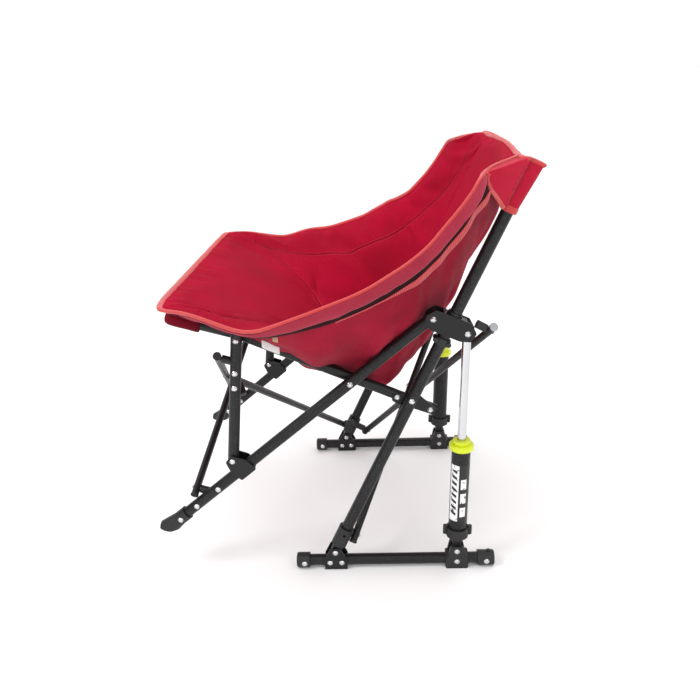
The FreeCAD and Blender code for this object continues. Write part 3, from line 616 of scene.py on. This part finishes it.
def puff(obj, pins, pressure, frames, cap):
    """Cloth simulation that swells the padding between its seams. No point moves further than cap."""
    rest = [v.co.copy() for v in obj.data.vertices]
    group = obj.vertex_groups.new(name="sewn")
    group.add(pins, 1.0, "REPLACE")
    cloth_modifier = obj.modifiers.new("cloth", "CLOTH")
    settings = cloth_modifier.settings
    settings.quality = 4
    settings.mass = 0.25
    settings.tension_stiffness = settings.compression_stiffness = 8.0
    settings.bending_stiffness = 0.4
    settings.use_pressure = True
    settings.uniform_pressure_force = pressure
    settings.effector_weights.gravity = 0.0
    settings.vertex_group_mass = "sewn"
    settings.shrink_min = -0.012
    cloth_modifier.point_cache.frame_start = 1
    cloth_modifier.point_cache.frame_end = frames
    for f in range(1, frames + 1):
        scene.frame_set(f)
    shape = obj.evaluated_get(bpy.context.evaluated_depsgraph_get())
    moved = [v.co.copy() for v in shape.data.vertices]
    obj.modifiers.remove(cloth_modifier)
    obj.vertex_groups.remove(group)
    for vertex, was, now in zip(obj.data.vertices, rest, moved):
        step = now - was
        if step.length > cap:
            step = step * (cap / step.length)
        vertex.co = was + step
    scene.frame_set(1)


sling = padded_sling()
puff(sling, pinned(), pressure=2.2, frames=14, cap=0.006)
smooth = sling.modifiers.new("subdivide", "SUBSURF")
smooth.levels = smooth.render_levels = 1
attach(sling, "frame")
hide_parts("seat_sling")


# ---- outer shell: a loose layer of cloth under the padding ---------------------------------
def frame_tree(*names):
    """Nearest-point tree over CAD nodes that cloth has to stay clear of."""
    points = []
    faces = []
    for name in names:
        mesh = frame["nodes"][name].data
        start = len(points)
        points += [v.co.copy() for v in mesh.vertices]
        faces += [tuple(start + i for i in f.vertices) for f in mesh.polygons]
    return BVHTree.FromPolygons(points, faces)


HARD = [n + s for s in ("_left", "_right") for n in ("seat_rail", "long_leg", "back_post",
                                                     "slide_bracket", "front_post", "front_pocket")]
OBSTACLES = frame_tree(*HARD, "seat_hinge_plate", "seat_rail_rivets", "front_brace_knuckles",
                       "slide_rivets", "front_post_rivets")


MIDDLE = SPAN / 2        # place across of the middle line


def shell_fold(u, v):
    """Outward hang of the loose outer cloth in metres: long soft folds that run down the walls."""
    half = from_rim(v)
    long_folds = noise.noise(Vector((u * 1.15 + half * 0.35, half * 0.35, 11.0 + (v > MIDDLE) * 5.0)))
    small = noise.noise(Vector((u * 2.6, half * 1.2, 20.0 + (v > MIDDLE) * 5.0)))
    return (6.0 + 13.0 * long_folds + 4.0 * small) * MM * ease(0.05, 1.2, half)


def droop(u, v):
    """Downward sag of the outer cloth in metres, so that it rests against the seat rails."""
    half = from_rim(v)
    behind = ease(2.2, 4.2, u)
    start = ease(0.12, 1.0, half) * behind + ease(1.0, 1.9, half) * (1.0 - behind)
    beside = start * ease(3.4, 2.3, half)
    middle = 0.55 * ease(2.0, 3.0, half)
    return 34.0 * MM * max(beside, middle) * ease(0.9, 2.6, u) * ease(8.6, 6.8, u)


SHELL_ROW = 2            # the outer cloth starts at this fine row
SHELL_COLUMN = 3         # and this many fine columns in from the rim
LEAST_HANG = 0.0006      # it stands off the padding by at least this much
MOST_LIFT = 0.0012       # and is pressed into it by no more than this
CLEAR = 0.0022           # gap kept to the tubes while it hangs outwards


def outer_rows():
    """Points of the outer cloth: folded, clear of the frame, and sagging until it rests."""
    rows = []
    for i in range(SHELL_ROW, ROWS - 1):
        row = []
        for k in range(SHELL_COLUMN, COLUMNS - SHELL_COLUMN):
            u, v = place(i, k)
            hang = max(LEAST_HANG, shell_fold(u, v))
            point = SKIN[i][k]
            room = OBSTACLES.find_nearest(point)[3] - CLEAR
            point = point - IN[i][k] * max(-MOST_LIFT, min(hang, room))
            for share in (1.0, 0.85, 0.7, 0.55, 0.4, 0.25, 0.1, 0.0):
                lower = point - Vector((0.0, 0.0, droop(u, v) * share))
                if share == 0.0 or OBSTACLES.find_nearest(lower)[3] > 0.002:
                    break
            row.append(lower)
        rows.append(row)
    return rows


SHELL = outer_rows()
shell = solid_sheet("sling_shell", SHELL, 0.0007, MAROON)
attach(shell, "frame")


# ---- rim: binding, outer band and ribbed trim ------------------------------------------------
def rim_loop():
    """Grid places once round the rim, from the front left corner up the left side."""
    n = COLUMNS - 1
    top = ROWS - 1
    loop = [(i, 0) for i in range(0, top)] + [(top, k) for k in range(0, n)]
    return loop + [(i, n) for i in range(top, 0, -1)] + [(0, k) for k in range(n, 0, -1)]


def binding():
    """Tape folded over the rim: a flattened tube along it."""
    loop = rim_loop()
    line = [SKIN[i][k] + IN[i][k] * 3.2 * MM for i, k in loop]
    count = len(line)
    corners = 14
    for _ in range(5):
        line = [(line[j - 1] + line[j] * 2.0 + line[(j + 1) % count]) * 0.25 for j in range(count)]
    rows = []
    for j, (i, k) in enumerate(loop):
        ahead = (line[(j + 1) % count] - line[j - 1]).normalized()
        up = IN[i][k]
        up = (up - ahead * up.dot(ahead)).normalized()
        out = ahead.cross(up)
        wobble = (1.32 if i == 0 else 1.0) + 0.14 * noise.noise(line[j] * 34.0)
        ring = []
        for a in range(corners):
            angle = 2.0 * math.pi * a / corners
            c = math.cos(angle)
            s = math.sin(angle)
            wide = 5.0 * MM * wobble * math.copysign(abs(c) ** 0.8, c)
            thick = 3.6 * MM * math.copysign(abs(s) ** 0.7, s)
            ring.append(line[j] + out * wide + up * thick)
        rows.append(ring)
    return loft("rim_binding", rows, BINDING, closed=True, loop=True)


edge = binding()
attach(edge, "frame")


def side_point(i, side, reach):
    """Point on the outer wall this far below the rim, measured along the surface."""
    columns = list(range(COLUMNS))
    if side == "right":
        columns.reverse()
    done = 0.0
    for a, b in zip(columns, columns[1:]):
        step = (SKIN[i][b] - SKIN[i][a]).length
        if done + step >= reach:
            t = (reach - done) / step
            return SKIN[i][a].lerp(SKIN[i][b], t), IN[i][a].lerp(IN[i][b], t).normalized()
        done += step
    return SKIN[i][columns[-1]], IN[i][columns[-1]]


def shell_point(i, side, reach):
    """Point on the outer cloth this far from its upper edge, and the way out of it."""
    row = SHELL[min(max(i - SHELL_ROW, 0), len(SHELL) - 1)]
    line = row if side == "left" else row[::-1]
    sign = 1.0 if side == "left" else -1.0
    done = 0.0
    for a, b in zip(line, line[1:]):
        step = (b - a).length
        if done + step >= reach:
            slope = (b - a).normalized()
            out = Vector((sign, 0.0, -0.4))
            out = (out - slope * out.dot(slope)).normalized()
            return a.lerp(b, (reach - done) / step), out
        done += step
    return line[-1], Vector((sign, 0.0, 0.0))


def band(side):
    """Strip of cloth that hangs from the binding, free along its lower edge."""
    sign = 1.0 if side == "left" else -1.0
    rows = []
    for i in range(10, 12 * ALONG + 4):
        u = i / ALONG
        full = ease(2.4, 4.2, u) * ease(12.6, 11.2, u)
        tall = (5.0 + 20.0 * full + 2.5 * noise.noise(Vector((u * 1.3, 5.0, sign)))) * MM
        top = side_point(i, side, 0.0)[0]
        wall, normal = side_point(i, side, tall)
        down = (wall - top).normalized()
        hang = (down * 0.62 + Vector((0, 0, -1)) * 0.38).normalized()
        curl = 2.0 * noise.noise(Vector((u * 2.1, 9.0, sign)))
        row = []
        for j in range(8):
            t = j / 6.0 - 1.0 / 6.0
            bulge = 1.6 + (3.6 + curl) * full * math.sin(math.pi * max(0.0, 0.05 + 0.6 * t))
            row.append(top + hang * tall * t - normal * bulge * MM)
        rows.append(row)
    return solid_sheet("rim_band_" + side, rows, 0.0016, ROSE)


TRIM_OFF = 5.6           # millimetres from the outer cloth to the ribbed tape
SHADE_STRIP_OFF = 5.0         # and to the dark strip of painted shade


def trim(side):
    """Ribbed tape sewn along the outer cloth just under the band."""
    rows = []
    for i in range(5 * ALONG, 12 * ALONG):
        u = i / ALONG
        wide = 15.0 * ease(6.5, 8.8, u) * ease(12.0, 11.3, u) + 4.0
        row = []
        for j in range(5):
            point, out = shell_point(i, side, (21.5 + wide * j / 4.0) * MM)
            row.append(point + out * TRIM_OFF * MM)
        rows.append(row)
    return solid_sheet("ribbed_trim_" + side, rows, 0.0014, RIB)


for side in ("left", "right"):
    for piece in (band(side), trim(side)):
        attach(piece, "frame")


def gap_shade_strip(side):
    """Near-black strip of painted shade in the hollow between the band's free lower edge and the outer
    cloth.
    """
    rows = []
    for i in range(2 * ALONG, 12 * ALONG):
        u = i / ALONG
        full = ease(2.0, 3.2, u) * ease(12.2, 11.4, u)
        row = []
        for j in range(6):
            point, out = shell_point(i, side, (6.0 + (15.0 * full + 1.0) * j / 5.0) * MM)
            row.append(point + out * SHADE_STRIP_OFF * MM)
        rows.append(row)
    return solid_sheet("gap_shade_strip_" + side, rows, 0.0006, GAP_SHADE_CLOTH)


for side in ("left", "right"):
    shade_strip = gap_shade_strip(side)
    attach(shade_strip, "frame")


# ---- corner pockets ------------------------------------------------------------------------
POST_X = 280.0           # millimetres from the middle to a side frame
POST_FOOT = Vector((0.0, -18.7, 43.0)) * MM
POST_WAY = Vector((0.0, math.cos(math.radians(64.1)), math.sin(math.radians(64.1))))
POST_FRONT = Vector((0.0, -POST_WAY.z, POST_WAY.y))


def on_post(t, off, x):
    """Point in millimetres along the post, in front of its axis, and at x."""
    return POST_FOOT + (POST_WAY * t + POST_FRONT * off) * MM + Vector((x * MM, 0.0, 0.0))


def ring(centre, across, away, a, b, power, count):
    """Closed superellipse, a wide along across and b along away."""
    points = []
    for k in range(count):
        angle = 2.0 * math.pi * k / count
        c = math.cos(angle)
        d = math.sin(angle)
        points.append(centre + across * a * math.copysign(abs(c) ** power, c)
                      + away * b * math.copysign(abs(d) ** power, d))
    return points


def flat_tube(name, path, wide, thick, face, material):
    """Flattened tube along a path. face is the direction that its flat side looks to."""
    rows = []
    last = len(path) - 1
    for j, point in enumerate(path):
        ahead = (path[min(j + 1, last)] - path[max(j - 1, 0)]).normalized()
        up = (face - ahead * face.dot(ahead)).normalized()
        rows.append(ring(point, ahead.cross(up), up, wide, thick, 0.8, 10))
    return loft(name, rows, material, closed=True, caps=True)


def post_sleeve(side, sign):
    """Cloth sleeve over the top of the post, flattened and sewn shut at its upper end."""
    rows = []
    stations = [828, 834, 842, 856, 870, 884, 896, 905, 912, 919, 925, 929, 931]
    for t in stations:
        share = (t - stations[0]) / (stations[-1] - stations[0])
        rear = -15.5 - 8.0 * share
        front = 14.5 + 0.5 * share
        closing = ease(900, 930, t)
        slump = 0.8 * noise.noise(Vector((t * 0.05, 2.0, sign)))
        centre = on_post(t - 4.0 * closing, (rear + front) / 2.0, sign * POST_X)
        half = (front - rear) / 2.0 * MM
        deep = (15.8 - 12.4 * closing + slump) * MM
        rows.append(ring(centre, POST_FRONT, Vector((1, 0, 0)), half, deep, 0.85 + 0.1 * closing, 28))
    return loft("top_sleeve_" + side, rows, POCKET, closed=True, caps=True, subdivide=1)


def sleeve_hem(side, sign):
    """Binding round the lower end of the sleeve."""
    rows = []
    for t, more in ((826.5, 0.3), (827, 1.3), (831, 1.7), (836, 1.7), (838.5, 1.2), (839, 0.2)):
        centre = on_post(t, -0.8, sign * POST_X)
        half = (15.4 + more) * MM
        rows.append(ring(centre, POST_FRONT, Vector((1, 0, 0)), half, half, 0.85, 28))
    return loft("top_hem_" + side, rows, BINDING, closed=True, subdivide=1)


# Outer edge of the gusset between the sleeve and the rim: along the post, in front of it.
GUSSET = [(831, 14), (845, 37), (854, 55), (863, 67), (873, 73), (883, 70), (898, 51), (915, 31),
          (927, 14)]
EDGE_STEPS = 40          # steps along that edge
PIPED = 24               # points of it that carry piping
WEB_FROM = 21            # point of it at which the web to the rim begins
WEB_ROWS = 15            # fine rows of the sling that the web takes in


def gusset_edge(sign):
    """Points along the outer edge of a gusset, from its lower end up."""
    flat = [Vector((t, off, 0.0)) for t, off in GUSSET]
    line = [curve_point(flat, (len(flat) - 1) * k / EDGE_STEPS) for k in range(EDGE_STEPS + 1)]
    return [on_post(p.x, p.y, sign * (298.0 + 36.0 * ease(0.0, 80.0, p.y))) for p in line]


def gusset(side, sign):
    """Slightly domed cloth between the sleeve and its outer edge."""
    outer = gusset_edge(sign)
    rows = []
    for k, edge_point in enumerate(outer):
        share = k / (len(outer) - 1)
        root = on_post(832 + 94 * share, 9.0, sign * 294.0)
        row = []
        for j in range(9):
            w = j / 8.0
            lift = math.sin(math.pi * w) * math.sin(math.pi * share) * 3.5 * MM
            soft = 1.2 * noise.noise(Vector((share * 3.0, w * 2.0, 30.0 + sign))) * MM
            row.append(root.lerp(edge_point, w) + Vector((sign * (lift + soft), 0.0, 0.0)))
        rows.append(row)
    return solid_sheet("top_gusset_" + side, rows, 0.0026, POCKET)


def zigzag(side, sign):
    """Zigzag stitching where the gusset meets the sleeve."""
    path = []
    for k in range(30):
        off = 9.5 + (1.6 if k % 2 else -1.6)
        path.append(on_post(840 + 2.6 * k, off, sign * 296.4))
    return flat_tube("top_stitch_" + side, path, 0.00055, 0.0005, Vector((sign, 0, 0)), THREAD)


RAIL_X = 249.0           # millimetres from the middle to a seat rail


def front_sleeve(side, sign):
    """Cloth sleeve over the front end of the seat rail, in the darker pocket cloth that paints in its
    shade.
    """
    tip = Vector((sign * RAIL_X, -330.0, 588.0)) * MM
    way = (tip - Vector((sign * RAIL_X, -194.0, 548.0)) * MM).normalized()
    up = Vector((1, 0, 0)).cross(way).normalized()
    up = up if up.z > 0 else -up
    rows = []
    for s, a, b in ((-62, 15.0, 14.5), (-60, 17.5, 16.0), (-50, 18.0, 16.0), (-34, 17.5, 15.0),
                    (-18, 18.0, 15.5), (-4, 17.5, 15.5), (6, 15.5, 14.0), (11, 12.0, 11.0),
                    (13.5, 6.0, 6.0)):
        slump = 0.7 * noise.noise(Vector((s * 0.08, 4.0, sign)))
        rows.append(ring(tip + way * s * MM + up * slump * MM, Vector((1, 0, 0)), up,
                         a * MM, b * MM, 0.9, 24))
    return loft("front_sleeve_" + side, rows, POCKET_IN_SHADE, closed=True, caps=True, subdivide=1)


def front_tongue(side, sign):
    """Flap that joins the front sleeve to the underside of the sling, in the same painted-shade pocket
    cloth.
    """
    rows = []
    for k in range(12):
        y = -334.0 + 5.0 * k
        rail_z = 588.0 + (-330.0 - y) * 0.294 + 12.0
        row = []
        for j in range(5):
            w = j / 4.0
            x = sign * (262.0 + 22.0 * w)
            z = rail_z + (626.0 - 0.42 * max(0.0, y + 334.0) - rail_z) * w
            row.append(Vector((x, y, z)) * MM)
        rows.append(row)
    return solid_sheet("front_tongue_" + side, rows, 0.0016, POCKET_IN_SHADE)


def end_tape(side, sign):
    """Binding that runs on from the rim's corner over the sewn end of the sleeve."""
    column = 0 if side == "left" else COLUMNS - 1
    corner = SKIN[ROWS - 1][column] + IN[ROWS - 1][column] * 3.2 * MM
    stops = [(926.0, 16.0, 287.0), (928.0, 8.0, 281.5), (928.5, -4.0, POST_X), (928.5, -14.0, POST_X),
             (928.0, -22.0, POST_X), (926.5, -25.0, POST_X)]
    path = [corner, corner.lerp(on_post(926.0, 16.0, sign * 287.0), 0.5)]
    path += [on_post(t, off, sign * x) for t, off, x in stops]
    line = [curve_point(path, (len(path) - 1) * k / 24) for k in range(25)]
    return flat_tube("top_tape_" + side, line, 0.0042, 0.0052, Vector((sign, 0, 0)), BINDING)


def corner_web(side, sign):
    """Cloth between the rim's corner and the upper edge of the gusset."""
    lower = [p for k, p in enumerate(gusset_edge(sign)) if k >= WEB_FROM]
    column = 0 if side == "left" else COLUMNS - 1
    rows = []
    for k, p in enumerate(lower):
        share = k / (len(lower) - 1)
        i = ROWS - 1 - round((1.0 - share) * WEB_ROWS)
        rim = SKIN[i][column] + IN[i][column] * 1.5 * MM
        rows.append([rim.lerp(p, w / 4.0) for w in range(5)])
    return solid_sheet("top_web_" + side, rows, 0.0016, POCKET)


for side, sign in (("left", 1.0), ("right", -1.0)):
    sleeve = post_sleeve(side, sign)
    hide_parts("top_pocket_" + side)
    cover = front_sleeve(side, sign)
    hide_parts("front_pocket_" + side)
    piping = flat_tube("top_piping_" + side, gusset_edge(sign)[:PIPED], 0.0042, 0.0026,
                       Vector((sign, 0, 0)), BINDING)
    for piece in (sleeve, cover, sleeve_hem(side, sign), gusset(side, sign), piping,
                  zigzag(side, sign), front_tongue(side, sign), corner_web(side, sign),
                  end_tape(side, sign)):
        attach(piece, "frame")


# ---- labels --------------------------------------------------------------------------------
def barrel_paint():
    """White printed blocks and bars on black: no lettering."""
    p = Paint("barrel_print", 0.35)
    parts = p.add("ShaderNodeSeparateXYZ", {0: p.where(uv="flat")})
    along, round_ = parts.outputs[0], parts.outputs[1]
    slant = p.math("ADD", along, p.math("MULTIPLY", round_, 0.45))
    hatch = p.math("GREATER_THAN", p.math("FRACT", p.math("DIVIDE", slant, 0.0145)), 0.52)
    inner = p.math("MULTIPLY", p.math("COMPARE", along, 0.0675, 0.056),
                   p.math("COMPARE", round_, 0.013, 0.0065))
    block = p.math("COMPARE", round_, 0.013, 0.0105)
    left = p.math("SUBTRACT", block, p.math("MULTIPLY", inner, hatch))
    bars = p.math("GREATER_THAN", p.math("FRACT", p.math("DIVIDE", along, 0.034)), 0.3)
    right = p.math("MULTIPLY", p.math("COMPARE", round_, 0.0345, 0.0065), bars)
    right = p.math("MULTIPLY", right, p.math("COMPARE", along, 0.058, 0.047))
    worn = p.span(p.noise(p.where(), 140.0, 3.0), 0.3, 0.42)
    ink = p.math("MULTIPLY", p.math("MAXIMUM", left, right), worn)
    return p.finish(p.mix(ink, rgb(0.006, 0.006, 0.007), rgb(0.82, 0.82, 0.82)))


PRINT = barrel_paint()
PISTON_FOOT = Vector((0.0, 250.0, 43.0)) * MM
PISTON_WAY = Vector((0.0, 19.2, 507.2)).normalized()
FILM_R = 20.25           # millimetres, a hair outside the cylinder's paint


def barrel_label(side, sign):
    """Printed film round the outer half of the cylinder."""
    back = Vector((0.0, PISTON_WAY.z, -PISTON_WAY.y))
    rows = []
    for k in range(28):
        t = 80.0 + 5.0 * k
        centre = PISTON_FOOT + PISTON_WAY * t * MM + Vector((sign * POST_X * MM, 0.0, 0.0))
        row = []
        for j in range(25):
            angle = math.radians(-78.0 + 150.0 * j / 24.0)
            around = Vector((sign, 0, 0)) * math.cos(angle) + back * math.sin(angle)
            row.append(centre + around * FILM_R * MM)
        rows.append(row)
    return loft("barrel_label_" + side, rows, PRINT)


for side, sign in (("left", 1.0), ("right", -1.0)):
    film = barrel_label(side, sign)
    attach(film, "cylinder_" + side)


def hanging_label(name, corner, wide, tall, slope, material):
    """Small cloth label sewn in by its upper edge, which drops by slope, slightly curled."""
    rows = []
    for k in range(9):
        row = []
        for j in range(7):
            curl = 1.8 * math.sin(2.4 * j / 6.0) + 0.8 * math.sin(3.0 * k / 8.0)
            drop = slope * wide * k / 8.0 + tall * j / 6.0
            row.append((Vector(corner) + Vector((curl, wide * k / 8.0, -drop))) * MM)
        rows.append(row)
    return solid_sheet(name, rows, 0.0004, material)


def on_shell(y, z):
    """x in millimetres just outside the outer cloth at this place of the left side."""
    n = len(SHELL[0])
    faces = [(r * n + c, r * n + c + 1, (r + 1) * n + c + 1, (r + 1) * n + c)
             for r in range(len(SHELL) - 1) for c in range(n - 1)]
    tree = BVHTree.FromPolygons([p for row in SHELL for p in row], faces)
    spot = tree.ray_cast(Vector((1.0, y * MM, z * MM)), Vector((-1.0, 0.0, 0.0)))[0]
    return (spot.x if spot else 0.28) / MM + 2.0


care = hanging_label("care_label", (max(264.0, on_shell(-125.0, 540.0)), -141.0, 550.0), 35.0, 17.0,
                     0.45, CARE)
tag = hanging_label("size_tag", (on_shell(-108.0, 576.0), -108.0, 580.0), 10.5, 10.5, 0.3, TAN)
for piece in (care, tag):
    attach(piece, "frame")

# The plugs at the upper ends of the rear cross are grey, the others black.
for face in frame["nodes"]["brace_end_plugs"].data.polygons:
    if face.center.z > 0.5 and face.center.y > 0.2:
        face.material_index = 1
frame["nodes"]["brace_end_plugs"].data.materials.append(PLUG_GREY)


# ---- floor and cards -----------------------------------------------------------------------
pale = Paint("floor_pale", 0.7)
ground = pale.noise(pale.where(), 1.2, 2.0)
FLOOR = pale.finish(pale.mix(ground, rgb(0.955, 0.955, 0.955), rgb(0.97, 0.97, 0.97)))
floor = loft("floor", [[Vector((x, y, 0)) for y in (-80, 0, 80)] for x in (-80, 0, 80)], FLOOR)


def card(name, place, size):
    """Dark studio card that only reflections see, so that bright metal shows an edge."""
    x, y, z = place
    rows = [[Vector((x + dx, y, h)) for h in (z - size, z + size)] for dx in (-0.7, 0.7)]
    obj = loft(name, rows, PLASTIC)
    for kind in ("visible_camera", "visible_diffuse", "visible_shadow", "visible_transmission"):
        setattr(obj, kind, False)


card("card_back", (0.9, 2.0, 0.7), 0.8)
card("card_front", (0.3, -1.7, 0.6), 0.6)
